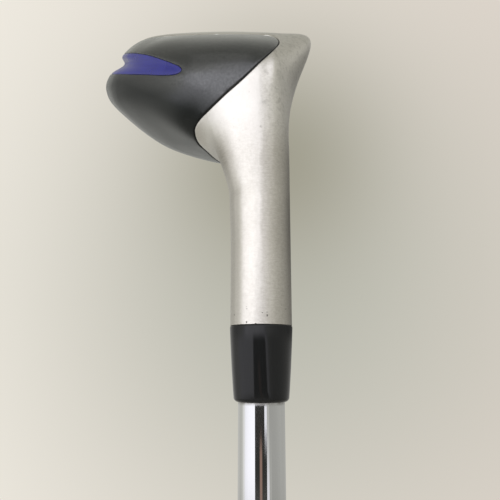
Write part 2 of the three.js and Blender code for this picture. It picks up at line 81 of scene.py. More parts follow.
# %% Directions of the head
CLUB_LENGTH = 1003
LIE = math.radians(60)
LOFT = math.radians(16)
HEAD_PLACE = Matrix((
    (-MM, 0, 0, 0),
    (0, math.sin(LIE) * MM, math.cos(LIE) * MM, 0),
    (0, math.cos(LIE) * MM, -math.sin(LIE) * MM, CLUB_LENGTH * MM),
    (0, 0, 0, 1),
))


# %% Finishing a piece
def in_scene(name, bm):
    """Makes an object of a bmesh in metres."""
    mesh = bpy.data.meshes.new(name)
    bm.to_mesh(mesh)
    bm.free()
    item = bpy.data.objects.new(name, mesh)
    scene.collection.objects.link(item)
    return item


def finished(name, bm, node, sharp=40):
    """Makes a smooth piece of a bmesh, standing for a node whose imported part it hides."""
    bmesh.ops.remove_doubles(bm, verts=bm.verts, dist=SAME_PLACE * MM)
    piece = in_scene(name, bm)
    piece.data.shade_smooth()
    piece.data.set_sharp_from_angle(angle=math.radians(sharp))
    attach(piece, "root")
    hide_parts(node)
    print(name, "stands for", node, "with", len(piece.data.polygons), "faces")
    return piece


# %% [markdown]
# ## The head's skin
#
# The casting flows without an edge from the round hosel through a fillet into the heel and on to the
# toe. Stretching a box or a sphere into that shape would take hundreds of pushes. A loft is shorter:
# 14 guide points are placed on each of 18 rings, which turn with the hosel and then stand across the
# head, and a smooth curve runs through them both ways. A plain grid is laid on the curves by moving
# its corners, so the faces stay small and even where the camera is close.

# %% Guide points of the hosel and the heel
HOSEL_RADIUS = 6.37
HOSEL_HEIGHT = 70.55
NECK_HEIGHT = 38.2
FILLET_RADIUS = 9.5
HEEL_DEPTH = 36.2
HEEL_BACK = 20
GUIDE_ANGLES = [112, 80, 50, 26, 4, -14, -24, -36, -56, -84, -116, -148, 180, 146]
HEEL_ANGLES = [112, 80, 50, 22, -8, -31, -37.5, -44, -61, -84, -116, -148, 180, 146]
# Place on the hosel as a share of its height, then the ring's reach back as a share of its radius
HOSEL_RINGS = [(1, 1), (0.847, 1), (0.73, 1.01), (0.633, 1.05), (0.5745, 1.1)]
# Angles, turn as a share of the lie, then front, back, depth and top as shares of their sizes
HEEL_FAN = [
    (GUIDE_ANGLES, 0.733, 1, 0.465, 0.657, 0.02),
    (GUIDE_ANGLES, 0.467, 0.99, 0.59, 0.779, 0.02),
    (HEEL_ANGLES, 0.217, 1.08, 1, 1, 0.03),
]


def round_ring(angles, front, back, top, bottom):
    """Guide points on a ring that is round or drawn out to the back, as (back, up)."""
    middle, half = (top + bottom) / 2, (top - bottom) / 2
    points = []
    for angle in map(math.radians, angles):
        across = math.cos(angle)
        points.append((across * (back if across > 0 else front), middle + half * math.sin(angle)))
    return points


def placed(points, toe, up, turn):
    """A ring's points as (back, toe, up), with the ring turned about its pivot."""
    return [Vector((back, toe + rise * math.sin(turn), up + rise * math.cos(turn)))
            for back, rise in points]


rings = []
for share, back in HOSEL_RINGS:
    height = HOSEL_HEIGHT * share
    ring = round_ring(GUIDE_ANGLES, HOSEL_RADIUS, HOSEL_RADIUS * back, HOSEL_RADIUS, -HOSEL_RADIUS)
    rings.append(placed(ring, -height * math.cos(LIE), height * math.sin(LIE), LIE))
REACH = HOSEL_RADIUS + FILLET_RADIUS
PIVOT_TOE = -NECK_HEIGHT * math.cos(LIE) + REACH * math.sin(LIE)
PIVOT_UP = NECK_HEIGHT * math.sin(LIE) + REACH * math.cos(LIE)
for angles, turn, front, back, depth, top in HEEL_FAN:
    ring = round_ring(angles, HOSEL_RADIUS * front, HEEL_BACK * back,
                      -FILLET_RADIUS * (1 + top), -HEEL_DEPTH * depth)
    rings.append(placed(ring, PIVOT_TOE, PIVOT_UP, LIE * turn))
print(len(rings), "rings from the hosel to the heel")

# %% Guide points across the head
FACE_LEAD = 12.7
BACK_REACH = 45.8
TOE_REACH = 74.5
CROWN_HEIGHT = 37.5
LIP_HEIGHT = 15.9
COVE_TOP, COVE_BOTTOM, COVE_DEPTH = 11.4, 5.9, 2.6
# Place toward the toe, then lead, its height, sole, back, lip, crown and cove as shares
SECTIONS = [
    (0, 0.93, 0.117, 0.055, 0.65, 1.02, 0.91, 0.45),
    (0.134, 0.98, 0.099, 0.033, 0.825, 1.01, 0.955, 0.8),
    (0.295, 1, 0.093, 0.009, 0.935, 1, 0.989, 1),
    (0.47, 1, 0.093, 0, 1, 1, 1, 1),
    (0.631, 0.995, 0.096, 0.011, 0.978, 1.01, 0.984, 1),
    (0.765, 0.985, 0.107, 0.032, 0.84, 1.02, 0.928, 0.8),
    (0.872, 0.9, 0.133, 0.067, 0.59, 1.03, 0.82, 0.45),
    (0.946, 0.7, 0.203, 0.133, 0.306, 1.03, 0.7, 0),
]


def section(lead, lead_up, sole_share, back_share, lip_share, crown, cove):
    """Guide points of one section across the head, as (back, up)."""
    front, back = -FACE_LEAD * lead, BACK_REACH * back_share
    width = back - front
    low, sole = CROWN_HEIGHT * lead_up, CROWN_HEIGHT * sole_share
    lip, top = LIP_HEIGHT * lip_share, CROWN_HEIGHT * crown
    topline = front + (top - low) * math.tan(LOFT)
    cove_low = COVE_BOTTOM + sole * 0.42
    return [
        (topline, top),
        (topline + (back - topline) * 0.3, top - (top - lip) * 0.05),
        (topline + (back - topline) * 0.66, top - (top - lip) * 0.28),
        (back - width * 0.055, lip + (top - lip) * 0.26),
        (back, lip),
        (back - width * 0.028, COVE_TOP),
        (back - width * 0.055 - COVE_DEPTH * cove, (COVE_TOP + cove_low) / 2),
        (back - width * 0.1, cove_low),
        (front + width * 0.76, sole + lip * 0.08),
        (front + width * 0.46, sole),
        (front + width * 0.18, sole + CROWN_HEIGHT * 0.012),
        *[(front + (topline - front) * share, low + (top - low) * share) for share in (0, 0.36, 0.75)],
    ]


for toe_share, *shares in SECTIONS:
    outline = section(*shares)
    rings.append(placed(outline, TOE_REACH * toe_share, 0, 0))
plain = section(*SECTIONS[-1][1:])
middle = [sum(values) / len(plain) for values in zip(*plain)]
for size, toe_share in ((0.5, 0.988), (0, 1)):
    small = [tuple(m + (v - m) * size for v, m in zip(point, middle)) for point in plain]
    rings.append(placed(small, TOE_REACH * toe_share, 0, 0))
print(len(rings), "rings in all")


# %% A smooth surface through the rings
def between(a, b, c, d, t):
    """A point on the smooth curve from b to c, with a before it and d after it."""
    bend, twist = 2 * a - 5 * b + 4 * c - d, 3 * b - a - 3 * c + d
    return (2 * b + (c - a) * t + bend * t * t + twist * t ** 3) / 2


def smooth_loop(points, steps):
    """A closed smooth curve through some points, with so many steps from one to the next."""
    loop = []
    for at in range(len(points)):
        near = [points[(at + shift) % len(points)] for shift in (-1, 0, 1, 2)]
        loop += [between(*near, step / steps) for step in range(steps)]
    return loop


AROUND_STEPS, ALONG_STEPS = 12, 12
columns = [smooth_loop(ring, AROUND_STEPS) for ring in rings]


def skin_point(row, at):
    """The skin's point at a row of the grid and a place around it."""
    start = min(row // ALONG_STEPS, len(columns) - 2)
    t = row / ALONG_STEPS - start
    b, c = columns[start][at], columns[start + 1][at]
    a = columns[start - 1][at] if start > 0 else 2 * b - c
    d = columns[start + 2][at] if start + 2 < len(columns) else 2 * c - b
    return between(a, b, c, d, t)


# %% Lay a grid on the surface
# The fillet under the hosel is eased more than the rest. Its zones are given in rings along the head
# and in guide points around it, and each zone is drawn in a few times, so that it has no hard border.
SKIN_PASSES = 3
HEEL_RINGS, HEEL_POINTS, HEEL_PASSES = (3.6, 9.2), (2, 10), 14
CROTCH_RINGS, CROTCH_POINTS, CROTCH_PASSES = (4.2, 8.6), (2, 12), 10
ZONE_INSETS = (0, 0.1, 0.2, 0.3)


def fair(bm, verts, passes):
    """Eases small waves out of the surface."""
    for _ in range(passes):
        bmesh.ops.smooth_vert(bm, verts=verts, factor=0.5,
                              use_axis_x=True, use_axis_y=True, use_axis_z=True)


def within(value, ends, inset):
    """Whether a value lies between two ends that are drawn in."""
    return ends[0] + inset < value < ends[1] - inset


def head_skin():
    """The whole skin as a bmesh in the head's millimetres, with its places stored on its corners."""
    wide, long = len(columns[0]), (len(columns) - 1) * ALONG_STEPS
    bm = bmesh.new()
    bmesh.ops.create_grid(bm, x_segments=wide, y_segments=long, size=1)
    along = bm.verts.layers.float.new("along")
    around = bm.verts.layers.float.new("around")
    for vert in bm.verts:
        at, row = round((vert.co.x + 1) / 2 * wide), round((vert.co.y + 1) / 2 * long)
        vert[along], vert[around] = row / ALONG_STEPS, at / AROUND_STEPS
        vert.co = skin_point(row, at % wide)
    bmesh.ops.remove_doubles(bm, verts=bm.verts, dist=SAME_PLACE)
    inner = [vert for vert in bm.verts if not vert.is_boundary]
    fair(bm, inner, SKIN_PASSES)
    for inset in ZONE_INSETS:
        heel = [vert for vert in inner if within(vert[along], HEEL_RINGS, inset)
                and within(vert[around], HEEL_POINTS, inset)]
        fair(bm, heel, HEEL_PASSES)
        crotch = [vert for vert in inner if within(vert[along], CROTCH_RINGS, inset)
                  and not within(vert[around], CROTCH_POINTS, -inset)]
        fair(bm, crotch, CROTCH_PASSES)
    bmesh.ops.recalc_face_normals(bm, faces=bm.faces)
    bm.normal_update()
    outward = bm.verts.layers.float_vector.new("outward")
    for vert in bm.verts:
        vert[outward] = vert.normal
    return bm


skin = head_skin()
print("skin:", len(skin.faces), "faces")

# %% [markdown]
# ## Where the crown's piece ends
#
# Seen from the heel, the dark piece ends in one long curve: along the sole's edge, round a small
# corner, slanting up the heel and turning in under the hosel. A boolean with a bent slab would cut
# it, but it leaves thin broken faces that spoil a glossy reflection. Instead every corner of the skin
# stores its distance from the curve, and edges are split exactly where that distance passes a value.
# The same cut at a few values beside the edge gives rows that can be rounded over.

# %% The seam as distances
# Seen from the heel, as (back, up). The sole's edge comes first, from the rear to the corner, and then
# the slanting edge of the heel. Past the middle of the head the seam swings over the toe in a bow.
SOLE_EDGE = [
    (75, 5.7), (55, 5.3), (42, 4.4), (35.7, 2.7), (29, 1.9), (22, 1.95), (15, 2.15), (8, 2.3), (1, 2.4),
    (-1.6, 2.6), (-3.3, 3.1), (-4.2, 3.9), (-4.3, 4.9),
]
HEEL_EDGE = [
    (-3.2, 6.2), (0.1, 9.1), (3.9, 12.6), (7.7, 15.8), (11.1, 18.9), (13.3, 21), (14.6, 22.8),
    (14.9, 24.3), (14.4, 26.6), (12.8, 28.8), (11.2, 31.5), (9.2, 33.2), (6, 34.2), (3.8, 36),
    (3.8, 40), (3.8, 60),
]
TOE_EDGE = [
    (-2.8, 6.8), (0.6, 10.4), (4.4, 14.4), (7.7, 18.4), (10, 22), (11, 25.5), (10.4, 28.8),
    (8.6, 31.6), (6.4, 33.9), (4.5, 36), (3.8, 38.4), (3.8, 41), (3.8, 60),
]
TOE_FROM = 40
# Seen from above, as (back, toe): the edge that turns in under the hosel, for all that lies higher
FOOT_EDGE = [
    (11, -60), (11, -20), (11, -4), (10.6, 0.8), (9.2, 4.1), (6.4, 8.2), (4.4, 12.7), (3.8, 18),
    (3.8, 40), (3.8, 90),
]
FOOT_FROM = 28
# How finely a curve is sampled, and how far past its nearest sample a point lies beyond a corner
CURVE_STEP, PAST_A_CORNER = 0.1, 0.15


def curve_through(points):
    """A search tree of points along a smooth curve, and the curve's direction at each of them."""
    corners = [Vector((x, y, 0)) for x, y in points]
    corners = [2 * corners[0] - corners[1], *corners, 2 * corners[-1] - corners[-2]]
    samples = []
    for a, b, c, d in zip(corners, corners[1:], corners[2:], corners[3:]):
        count = max(2, round((c - b).length / CURVE_STEP))
        samples += [between(a, b, c, d, at / count) for at in range(count)]
    tree = KDTree(len(samples))
    for at, sample in enumerate(samples):
        tree.insert(sample, at)
    tree.balance()
    headings = [(after - before).normalized() for before, after in zip(samples, samples[1:])]
    return tree, [*headings, headings[-1]]


def side_of(curve, x, y):
    """Distance from the curve, more than 0 on its right-hand side going along it."""
    tree, headings = curve
    near, at, _ = tree.find((x, y, 0))
    offset = Vector((x, y, 0)) - near
    heading = headings[at]
    across = offset.x * heading.y - offset.y * heading.x
    beyond = abs(offset.dot(heading)) > PAST_A_CORNER
    return math.copysign(offset.length, across) if beyond else across


heel_curve, toe_curve = curve_through(SOLE_EDGE + HEEL_EDGE), curve_through(SOLE_EDGE + TOE_EDGE)
foot_curve = curve_through(FOOT_EDGE)


def seam_distance(point):
    """More than 0 inside the crown's piece, less than 0 on the casting."""
    back, toe, up = point
    distance = side_of(toe_curve if toe > TOE_FROM else heel_curve, back, up)
    if up > FOOT_FROM:
        distance = min(distance, side_of(foot_curve, back, toe))
    return distance


seam = skin.verts.layers.float.new("seam")
for vert in skin.verts:
    vert[seam] = seam_distance(vert.co)
print("crown corners:", sum(vert[seam] > 0 for vert in skin.verts))


# %% Cutting and rounding by a stored distance
# Shares of a rounding's radius at which the skin is cut into rows
EASING = (0, 0.12, 0.3, 0.6, 1)


def cut_at(bm, layer, mark, snap=0.02):
    """Splits the faces where the layer's value passes a mark."""
    outward = bm.verts.layers.float_vector["outward"]
    on_line = []
    for vert in bm.verts:
        if abs(vert[layer] - mark) < snap:
            vert[layer] = mark
            on_line.append(vert)
    passed = []
    for face in bm.faces:
        values = [vert[layer] for vert in face.verts]
        if len(values) > 3 and min(values) < mark < max(values):
            passed.append(face)
    bmesh.ops.triangulate(bm, faces=passed)
    for edge in list(bm.edges):
        start, end = edge.verts
        low, high = start[layer] - mark, end[layer] - mark
        if low * high < 0:
            share = low / (low - high)
            facing = start[outward].lerp(end[outward], share)
            _, corner = bmesh.utils.edge_split(edge, start, share)
            corner[layer], corner[outward] = mark, facing
            on_line.append(corner)
    bmesh.ops.connect_verts(bm, verts=on_line)


def keep_where(bm, layer, sign, mark):
    """Deletes the faces on the wrong side of a mark."""
    wrong = [face for face in bm.faces
             if sum(vert[layer] - mark for vert in face.verts) * sign < 0]
    bmesh.ops.delete(bm, geom=wrong, context="FACES")


def cut_edge(bm, layer, sign, mark, radius):
    """Ends the skin at a mark, with rows beside it for the rounding to come."""
    for row in sorted(mark + sign * radius * share for share in EASING):
        cut_at(bm, layer, row)
    keep_where(bm, layer, sign, mark)


def round_over(bm, layer, sign, mark, radius):
    """Lets the edge at a mark fall away in a quarter circle."""
    outward = bm.verts.layers.float_vector["outward"]
    for vert in bm.verts:
        inside = (vert[layer] - mark) * sign
        if inside < radius - SAME_PLACE:
            drop = radius - math.sqrt(radius ** 2 - (radius - max(inside, 0)) ** 2)
            vert.co -= vert[outward].normalized() * drop


def thickened(bm, depth):
    """Gives the skin a wall: a second skin below it, and sides along its edges."""
    outward = bm.verts.layers.float_vector["outward"]
    made = bmesh.ops.extrude_face_region(bm, geom=bm.faces[:], use_keep_orig=True)
    for item in made["geom"]:
        if isinstance(item, bmesh.types.BMVert):
            item.co -= item[outward].normalized() * depth
    bmesh.ops.transform(bm, matrix=HEAD_PLACE, verts=bm.verts)
    bmesh.ops.recalc_face_normals(bm, faces=bm.faces)
    return bm

# %% [markdown]
# ## The casting
#
# The silver casting is the part of the skin outside the seam. Its edge is rounded over a fifth of a
# millimetre, because a real edge catches a thin line of light, and a second skin below it gives it a
# wall. The face is ground flat: corners in front of the face's plane are moved back onto it, and the
# place of the face insert is cut out by its distance from the insert's outline.

# %% The face's plane and the insert's outline
GROUND_OFF, LEADING_EDGE = 0.15, 0.093
FACE_POINT = Vector((-FACE_LEAD + GROUND_OFF, 0, CROWN_HEIGHT * LEADING_EDGE))
FACE_UP = Vector((math.sin(LOFT), 0, math.cos(LOFT)))
FACE_OUT = Vector((-math.cos(LOFT), 0, math.sin(LOFT)))
PLATE_HEEL, PLATE_WIDTH, PLATE_LOW, PLATE_HEIGHT = 9, 50, 3.2, 26.3
PLATE_SHARES = [
    (0, 0.1), (0, 0.72), (0.05, 0.87), (0.3, 0.97), (0.68, 1), (0.88, 0.89), (0.98, 0.63),
    (1, 0.33), (0.95, 0.1), (0.8, 0), (0.45, 0), (0.07, 0),
]
plate_corners = [(PLATE_HEEL + PLATE_WIDTH * x, PLATE_LOW + PLATE_HEIGHT * y) for x, y in PLATE_SHARES]
plate_curve = curve_through([*plate_corners, *plate_corners[:3]])

# %% Casting
SEAM_GAP, SEAM_EASING, PLATE_EASING, CASTING_WALL = 0.22, 0.22, 0.2, 1.35
FACE_FROM, OFF_THE_FACE = 3, -9


def casting():
    """The silver skin, cut at the seam and round the face insert."""
    bm = skin.copy()
    seam = bm.verts.layers.float["seam"]
    cut_edge(bm, seam, -1, 0, SEAM_EASING)
    round_over(bm, seam, -1, 0, SEAM_EASING)
    bm.normal_update()
    plate = bm.verts.layers.float.new("plate")
    for vert in bm.verts:
        offset = vert.co - FACE_POINT
        faces_front = vert.normal.dot(FACE_OUT) > 0.5 and vert.co.y > FACE_FROM
        if faces_front:
            vert.co -= FACE_OUT * max(offset.dot(FACE_OUT), 0)
            vert[plate] = side_of(plate_curve, offset.y, offset.dot(FACE_UP))
        else:
            vert[plate] = OFF_THE_FACE
    cut_edge(bm, plate, -1, -SEAM_GAP / 2, PLATE_EASING)
    round_over(bm, plate, -1, -SEAM_GAP / 2, PLATE_EASING)
    return thickened(bm, CASTING_WALL)


finished("casting", casting(), "head_body", sharp=50)

# %% [markdown]
# ## The crown's piece and the line round it
#
# The dark piece wraps over the skirt to the sole's edge. It starts 0.22 mm inside the seam, so that a
# thin dark line of adhesive shows between the two, as it does on the real head. The cove at the rear
# is a place of its own: the corners store how far they lie inside the cove's outline, and the same cut
# opens a pocket there for the blue inlay.

# %% The cove's outline
# Seen from the heel, from the toe's end of the upper edge round the tip and back along the lower edge
COVE_OUTLINE = [
    (60, 11.2), (40, 11.3), (30, 11.5), (24, 11.7), (20.5, 11.7), (18.6, 11.4), (17.6, 10.7),
    (17.9, 9.9), (19.6, 9.2), (22, 8.4), (25, 7.5), (29, 6.6), (35, 5.95), (45, 5.6), (60, 5.5),
]
cove_curve = curve_through(COVE_OUTLINE)
cove = skin.verts.layers.float.new("cove")
for vert in skin.verts:
    vert[cove] = -side_of(cove_curve, vert.co.x, vert.co.z)
print("cove corners:", sum(vert[cove] > 0 for vert in skin.verts))

# %% Crown
CROWN_EASING, COVE_EASING, CROWN_WALL = 0.25, 0.2, 1.1


def crown():
    """The dark skin inside the seam, with the pocket for the inlay cut out."""
    bm = skin.copy()
    seam = bm.verts.layers.float["seam"]
    cove = bm.verts.layers.float["cove"]
    cut_edge(bm, seam, 1, SEAM_GAP, CROWN_EASING)
    cut_edge(bm, cove, -1, 0, COVE_EASING)
    round_over(bm, seam, 1, SEAM_GAP, CROWN_EASING)
    round_over(bm, cove, -1, 0, COVE_EASING)
    return thickened(bm, CROWN_WALL)


finished("crown", crown(), "crown_shell", sharp=50)


# %% Seam line
def sunk_and_thickened(bm, sunk, wall):
    """Lets a strip of the skin down below it, and gives it a wall."""
    outward = bm.verts.layers.float_vector["outward"]
    for vert in bm.verts:
        vert.co -= vert[outward].normalized() * sunk
    return thickened(bm, wall)


LINE_OVERLAP, LINE_SUNK, LINE_WALL = 0.04, 0.32, 0.4


def seam_line():
    """The narrow dark strip that fills the gap along the seam."""
    bm = skin.copy()
    seam = bm.verts.layers.float["seam"]
    low, high = -LINE_OVERLAP, SEAM_GAP + LINE_OVERLAP
    cut_at(bm, seam, low)
    cut_at(bm, seam, high)
    keep_where(bm, seam, 1, low)
    keep_where(bm, seam, -1, high)
    return sunk_and_thickened(bm, LINE_SUNK, LINE_WALL)


finished("seam_line", seam_line(), "crown_bond")

# %% Inlay
INLAY_GAP, INLAY_EASING, INLAY_SUNK, INLAY_WALL = 0.1, 0.15, 0.06, 0.7


def inlay():
    """The blue strip that lies in the cove, a hair below the paint."""
    bm = skin.copy()
    cove = bm.verts.layers.float["cove"]
    cut_edge(bm, cove, 1, INLAY_GAP, INLAY_EASING)
    round_over(bm, cove, 1, INLAY_GAP, INLAY_EASING)
    return sunk_and_thickened(bm, INLAY_SUNK, INLAY_WALL)


finished("cove_strip", inlay(), "cove_inlay", sharp=50)

# %% [markdown]
# ## The face insert
#
# The insert is a flat plate with seven pressed score lines. One face is filled over its outline and
# extruded. The lines are cut with pairs of planes, and the narrow faces between them are inset with a
# negative depth, which gives each groove sloping walls.

# %% Face insert
SCORE_COUNT, SCORE_SPACING, SCORE_WIDTH = 7, 3, 0.8
SCORE_LOW, SCORE_HEEL, SCORE_LENGTH = 7.7, 15, 36
SCORE_SLOPE, SCORE_DEPTH = 0.18, 0.3
PLATE_THICKNESS, PLATE_STEPS, PLATE_BEVEL = 2, 6, 0.15


def face_insert():
    """The plate, modelled flat with its outside up and then put on the face's plane."""
    outline = smooth_loop([Vector((x, y, 0)) for x, y in plate_corners], PLATE_STEPS)
    bm = bmesh.new()
    bm.faces.new([bm.verts.new(point) for point in outline])
    lows = [SCORE_LOW + SCORE_SPACING * line - SCORE_WIDTH / 2 for line in range(SCORE_COUNT)]
    cuts = [((0, low + side, 0), (0, 1, 0)) for low in lows for side in (0, SCORE_WIDTH)]
    cuts += [((SCORE_HEEL + end, 0, 0), (1, 0, 0)) for end in (0, SCORE_LENGTH)]
    for place, heading in cuts:
        every = bm.verts[:] + bm.edges[:] + bm.faces[:]
        bmesh.ops.bisect_plane(bm, geom=every, dist=SAME_PLACE, plane_co=place, plane_no=heading)
    bm.normal_update()
    if bm.faces[:][0].normal.z < 0:
        bmesh.ops.reverse_faces(bm, faces=bm.faces)
    grooves = []
    for face in bm.faces:
        x, y, _ = face.calc_center_median()
        in_line = any(low < y < low + SCORE_WIDTH for low in lows)
        if in_line and SCORE_HEEL < x < SCORE_HEEL + SCORE_LENGTH:
            grooves.append(face)
    rim = [edge for edge in bm.edges if edge.is_boundary]
    wall = bmesh.ops.extrude_face_region(bm, geom=rim)
    low_ring = [item for item in wall["geom"] if isinstance(item, bmesh.types.BMVert)]
    bmesh.ops.translate(bm, vec=(0, 0, -PLATE_THICKNESS), verts=low_ring)
    bmesh.ops.holes_fill(bm, edges=[edge for edge in bm.edges if edge.is_boundary], sides=0)
    bmesh.ops.inset_region(bm, faces=grooves, thickness=SCORE_SLOPE, depth=-SCORE_DEPTH,
                           use_even_offset=True)
    turn = Matrix((
        (0, FACE_UP.x, FACE_OUT.x, FACE_POINT.x),
        (1, FACE_UP.y, FACE_OUT.y, FACE_POINT.y),
        (0, FACE_UP.z, FACE_OUT.z, FACE_POINT.z),
        (0, 0, 0, 1),
    ))
    bmesh.ops.transform(bm, matrix=HEAD_PLACE @ turn, verts=bm.verts)
    bmesh.ops.recalc_face_normals(bm, faces=bm.faces)
    return bm


insert_piece = finished("face_insert", face_insert(), "face_plate", sharp=25)
easing = insert_piece.modifiers.new("easing", "BEVEL")
easing.width, easing.segments, easing.limit_method = PLATE_BEVEL * MM, 2, "ANGLE"
easing.angle_limit = math.radians(50)

# %% [markdown]
# ## Round pieces on the shaft's axis
#
# The ferrule, the shaft, the foil band, the grip and its cap are all turned: half of each outline is
# spun once round the axis. A full spin merges its last step with its first, or the seam would show as
# a crack. The sharp corners are bevelled afterwards, as a lathe tool would break them.

# %% A turned piece
JOINT = CLUB_LENGTH - HOSEL_HEIGHT


def spun(outline, easing, steps=96, segments=3):
    """A closed outline of (radius, height) spun round the axis, its corners eased."""
    bm = bmesh.new()
    corners = [bm.verts.new((radius * MM, 0, height * MM)) for radius, height in outline]
    edges = [bm.edges.new(pair) for pair in zip(corners, [*corners[1:], corners[0]])]
    bmesh.ops.spin(bm, geom=corners + edges, axis=(0, 0, 1), cent=(0, 0, 0), steps=steps,
                   angle=math.tau, use_merge=True)
    bmesh.ops.remove_doubles(bm, verts=bm.verts, dist=SAME_PLACE * MM)
    bmesh.ops.recalc_face_normals(bm, faces=bm.faces)
    sharp = [edge for edge in bm.edges if edge.calc_face_angle(0) > math.radians(30)]
    bmesh.ops.bevel(bm, geom=sharp, offset=easing * MM, affect="EDGES", segments=segments,
                    profile=0.5, clamp_overlap=True)
    return bm


# %% Ferrule
FERRULE_BORE, FERRULE_TOP = 4.75, JOINT - 0.05
FERRULE_LOW = FERRULE_TOP - 15
finished("ferrule_sleeve", spun([
    (FERRULE_BORE, FERRULE_LOW), (5.15, FERRULE_LOW), (5.6, FERRULE_LOW + 0.5),
    (5.75, FERRULE_LOW + 2.2), (6.05, FERRULE_LOW + 6.5), (6.32, FERRULE_LOW + 11.5),
    (6.46, FERRULE_TOP - 0.5), (6.42, FERRULE_TOP), (FERRULE_BORE, FERRULE_TOP),
], easing=0.22), "ferrule")

# %% Shaft
CAP_HEIGHT = 4.9
SHAFT_TIP, TIP_RADIUS, TIP_WALL, TIP_LENGTH = JOINT + 32, 4.7, 0.8, 240
SHAFT_BUTT, BUTT_RADIUS, BUTT_WALL, BUTT_LENGTH = CAP_HEIGHT, 7.62, 0.4, 300
STEPS, STEP_LENGTH = 15, 1.2
STEP_SPACING = (SHAFT_TIP - TIP_LENGTH - BUTT_LENGTH) / (STEPS - 1)
STEP_DROP = (BUTT_RADIUS - TIP_RADIUS) / STEPS
shaft_outline = [(BUTT_RADIUS - BUTT_WALL, SHAFT_BUTT), (BUTT_RADIUS, SHAFT_BUTT)]
for step in range(STEPS):
    z = BUTT_LENGTH + step * STEP_SPACING
    radius = BUTT_RADIUS - step * STEP_DROP
    shaft_outline += [(radius, z), (radius - STEP_DROP, z + STEP_LENGTH)]
shaft_outline += [
    (TIP_RADIUS, SHAFT_TIP), (TIP_RADIUS - TIP_WALL, SHAFT_TIP),
    (TIP_RADIUS - TIP_WALL, SHAFT_TIP - TIP_LENGTH), (BUTT_RADIUS - BUTT_WALL, BUTT_LENGTH),
]
finished("stepped_shaft", spun(shaft_outline, easing=0.08, steps=64, segments=2),
         "shaft", sharp=5)

# %% Foil band
# It fills the second length between two steps, clear of both
BAND_LOW = BUTT_LENGTH + STEP_SPACING + 2 * STEP_LENGTH
BAND_HIGH = BAND_LOW + STEP_SPACING - 3 * STEP_LENGTH
BAND_IN = BUTT_RADIUS - 2 * STEP_DROP + 0.05
BAND_OUT = BAND_IN + 0.12
finished("foil_band", spun([
    (BAND_IN, BAND_LOW), (BAND_OUT, BAND_LOW), (BAND_OUT, BAND_HIGH), (BAND_IN, BAND_HIGH),
], easing=0.03, steps=64, segments=2), "shaft_band")

# %% Grip and cap
GRIP_LENGTH, GRIP_MOUTH, GRIP_CAP, GRIP_BORE = 268, 9.4, 14.6, 8.02
CAP_SEAT, CAP_RADIUS, VENT_RADIUS, CAP_TOP = 10.55, 10.5, 1.5, 4.6
LIP_SHARE, LIP_LENGTH, LIP_DROP = 0.003, 1.2, 0.6
# Place along the grip as a share of its length, and how far it has widened from mouth to cap
GRIP_SHARES = [
    (LIP_SHARE, 0.72), (0.008, 0.93), (0.014, 1), (0.022, 1), (0.034, 0.94), (0.05, 0.86), (0.08, 0.8),
    (0.12, 0.76), (0.2, 0.67), (0.3, 0.58), (0.42, 0.47), (0.55, 0.36), (0.78, 0.16),
]
grip_outline = [(CAP_SEAT, GRIP_LENGTH * LIP_SHARE)]
grip_outline += [(GRIP_MOUTH + (GRIP_CAP - GRIP_MOUTH) * size, GRIP_LENGTH * along)
                 for along, size in GRIP_SHARES]
grip_outline += [
    (GRIP_MOUTH, GRIP_LENGTH - LIP_LENGTH), (GRIP_MOUTH - LIP_DROP, GRIP_LENGTH),
    (GRIP_BORE, GRIP_LENGTH), (GRIP_BORE, CAP_HEIGHT), (CAP_SEAT, CAP_HEIGHT),
]
finished("rubber_grip", spun(grip_outline, easing=0.4), "grip")
finished("grip_cap", spun([
    (VENT_RADIUS, 0), (9.9, 0), (CAP_RADIUS, 0.6), (CAP_RADIUS, CAP_TOP), (VENT_RADIUS, CAP_TOP),
], easing=0.3), "butt_cap")

# %% [markdown]
# ## Effects that several finishes share
#
# Drawn lines, handling marks and slow clouds of tone turn up on the steel, the paint, the chrome and
# the plastics. Each one is a shader node group: built once, given a vector and a few sizes, and
# giving back a mask. The shader itself stays in each material, where its own values can be read.

# %% Small helpers for node trees
def is_output(value):
    """Whether a value is another node's output, and not a number or a colour."""
    return isinstance(value, bpy.types.NodeSocket)


def add(kind, inputs, tree=None, **settings):
    """Adds a node, in the tree of the outputs that it is given, and sets or links its inputs."""
    tree = tree or next(value.id_data for value in inputs.values() if is_output(value))
    node = tree.nodes.new("ShaderNode" + kind)
    for name, value in settings.items():
        setattr(node, name, value)
    for key, value in inputs.items():
        if is_output(value):
            tree.links.new(value, node.inputs[key])
        else:
            node.inputs[key].default_value = value
    return node


def maths(operation, first, second=0, clamp=False):
    """One step of arithmetic between two values or outputs."""
    return add("Math", {0: first, 1: second}, operation=operation, use_clamp=clamp).outputs[0]


def times(first, *others):
    """The product of some values or outputs."""
    for other in others:
        first = maths("MULTIPLY", first, other)
    return first


def climb(value, low, high):
    """A mask that goes from 0 to 1 as a value passes from one number to another."""
    return add("MapRange", {"Value": value, "From Min": low, "From Max": high}).outputs[0]


def spread(mask, low, high):
    """A number between two, by a mask."""
    return add("MapRange", {"Value": mask, "To Min": low, "To Max": high}).outputs[0]


def blend(mask, low, high):
    """A colour between two, by a mask. Either may be a plain colour or another node's output."""
    low, high = (value if is_output(value) else (*value, 1) for value in (low, high))
    # A Mix node's colours are its inputs 6 and 7, and its output 2
    return add("Mix", {0: mask, 6: low, 7: high}, data_type="RGBA").outputs[2]


def layered(ground, layers):
    """A ground with colours laid over it one after another, each by its mask."""
    for mask, colour in layers:
        ground = blend(mask, ground, colour)
    return ground


def noise(vector, scale, detail, rough=0.5):
    """Irregular noise from 0 to 1."""
    sizes = {"Scale": scale, "Detail": detail, "Roughness": rough}
    return add("TexNoise", {"Vector": vector, **sizes}).outputs[0]


def mapped(vector, **change):
    """A vector after a scale or a turn."""
    return add("Mapping", {"Vector": vector, **change}).outputs[0]


